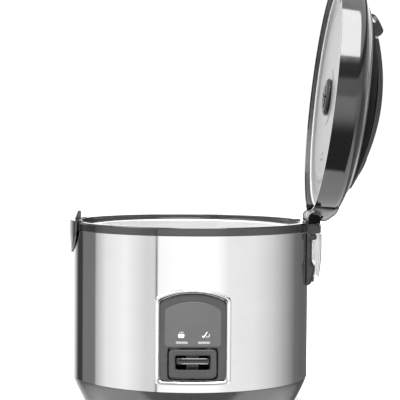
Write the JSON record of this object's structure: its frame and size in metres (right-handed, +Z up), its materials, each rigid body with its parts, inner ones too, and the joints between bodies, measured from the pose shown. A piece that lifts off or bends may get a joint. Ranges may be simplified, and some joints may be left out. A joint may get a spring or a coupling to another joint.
{
  "type": "rice cooker",
  "caption": "Clamshell rice cooker with an open hinged lid, round steel body on a dark tapered base, lift-out pot, arched control panel with a cook lever, and side hinge with a dew cup.",
  "frame": {"origin": "on the table, under the middle of the open cooker's bounding box", "axes": "+Z up, -Y towards the control panel's side, +X towards the hinge; the lid is drawn open"},
  "size_m": [0.338, 0.2598, 0.4671],
  "materials": {
    "dark_plastic": "semi-gloss dark grey",
    "black_plastic": "semi-gloss black",
    "label_grey": "semi-gloss mid grey with printed icons",
    "polished_steel": "fine bright polish",
    "chrome_trim": "bright chrome",
    "plain_steel": "plain satin",
    "satin_aluminium": "satin",
    "heater_foil": "matte foil",
    "brass_pin": "nickelled",
    "rubber_foot": "matte",
    "clear_silicone": "translucent satin",
    "clear_plastic": "clear gloss plastic",
    "amber_lens": "gloss",
    "green_lens": "gloss"
  },
  "bodies": {
    "cooker_body": {"base_housing": "dark_plastic", "bottom_cover": "dark_plastic", "bottom_screw_1": "plain_steel", "bottom_screw_2": "plain_steel", "bottom_screw_3": "plain_steel", "foot_front_right": "rubber_foot", "foot_back_right": "rubber_foot", "foot_back_left": "rubber_foot", "foot_front_left": "rubber_foot", "outer_shell": "polished_steel", "top_ring": "dark_plastic", "inner_liner": "satin_aluminium", "keep_warm_band": "heater_foil", "heating_plate": "satin_aluminium", "heating_element": "plain_steel", "thermostat_seat": "plain_steel", "thermal_fuse": "clear_silicone", "inlet_socket": "black_plastic", "inlet_pin_line": "brass_pin", "inlet_pin_neutral": "brass_pin", "inlet_pin_earth": "brass_pin", "panel_bezel": "chrome_trim", "panel_plate": "dark_plastic", "label_plate": "label_grey", "lamp_cook": "amber_lens", "lamp_warm": "green_lens", "switch_frame": "dark_plastic", "lever_bracket": "dark_plastic", "lever_pin": "plain_steel", "microswitch": "dark_plastic", "latch_bracket": "dark_plastic", "hinge_bracket": "dark_plastic", "hinge_block": "dark_plastic", "hinge_bearing_front": "black_plastic", "hinge_bearing_back": "black_plastic", "hinge_pin": "plain_steel", "hinge_spring_front": "plain_steel", "hinge_spring_back": "plain_steel"},
    "lid": {"lid_shell": "dark_plastic", "lid_lining": "dark_plastic", "lid_cover": "dark_plastic", "trim_ring": "chrome_trim", "handle_cap": "black_plastic", "lid_hinge_arm": "black_plastic", "hinge_cover": "dark_plastic", "latch_spring": "plain_steel"},
    "inner_lid": {"inner_lid": "satin_aluminium", "inner_lid_gasket": "clear_silicone", "inner_lid_grommet": "black_plastic"},
    "inner_pot": {"inner_pot": "satin_aluminium"},
    "release_button": {"release_button": "black_plastic"},
    "latch_slide": {"latch_slide": "black_plastic"},
    "steam_vent_cap": {"steam_vent_cap": "black_plastic"},
    "switch_lever": {"lever_paddle": "black_plastic", "lever_arm": "plain_steel"},
    "magnet_plunger": {"magnet_plunger": "black_plastic"},
    "sensor": {"sensor_cup": "plain_steel", "sensor_spring": "plain_steel"},
    "dew_collector": {"dew_collector": "clear_plastic"}
  },
  "joints": [
    {"name": "lid_hinge", "type": "hinge", "parent": "cooker_body", "child": "lid", "pos_m": [0.09367, 0, 0.209], "axis": [0, 1, 0], "range_deg": [-96, 0]},
    {"name": "inner_lid_pull", "type": "slide", "parent": "lid", "child": "inner_lid", "axis": [-0.9945, 0, 0.1045], "range_m": [0, 0.018]},
    {"name": "pot_lift", "type": "slide", "parent": "cooker_body", "child": "inner_pot", "axis": [0, 0, 1], "range_m": [0, 0.16]},
    {"name": "button_press", "type": "slide", "parent": "lid", "child": "release_button", "axis": [-0.9945, 0, 0.1045], "range_m": [0, 0.003], "stiffness_N_per_m": 300, "springref_m": -0.004},
    {"name": "latch_travel", "type": "slide", "parent": "lid", "child": "latch_slide", "axis": [-0.1045, 0, -0.9945], "range_m": [0, 0.0025], "stiffness_N_per_m": 300, "springref_m": -0.004, "deforming": ["latch_spring"]},
    {"name": "vent_cap_pull", "type": "slide", "parent": "lid", "child": "steam_vent_cap", "axis": [0.9068, 0, -0.4216], "range_m": [0, 0.02]},
    {"name": "lever_press", "type": "hinge", "parent": "cooker_body", "child": "switch_lever", "pos_m": [-0.03803, -0.06, 0.0325], "axis": [1, 0, 0], "range_deg": [0, 4], "stiffness_Nm_per_rad": 0.5, "springref_deg": -5.73},
    {"name": "plunger_lift", "type": "slide", "parent": "cooker_body", "child": "magnet_plunger", "axis": [0, 0, 1], "range_m": [0, 0.0045]},
    {"name": "sensor_press", "type": "slide", "parent": "cooker_body", "child": "sensor", "axis": [0, 0, 1], "range_m": [-0.002, 0], "stiffness_N_per_m": 400, "springref_m": 0.004, "deforming": ["sensor_spring"]},
    {"name": "collector_pull", "type": "slide", "parent": "cooker_body", "child": "dew_collector", "axis": [1, 0, 0], "range_m": [0, 0.03]}
  ],
  "couplings": [
    {"joint": "latch_travel", "follows": "button_press", "ratio": 0.8},
    {"joint": "plunger_lift", "follows": "lever_press", "m_per_rad": 0.06}
  ]
}
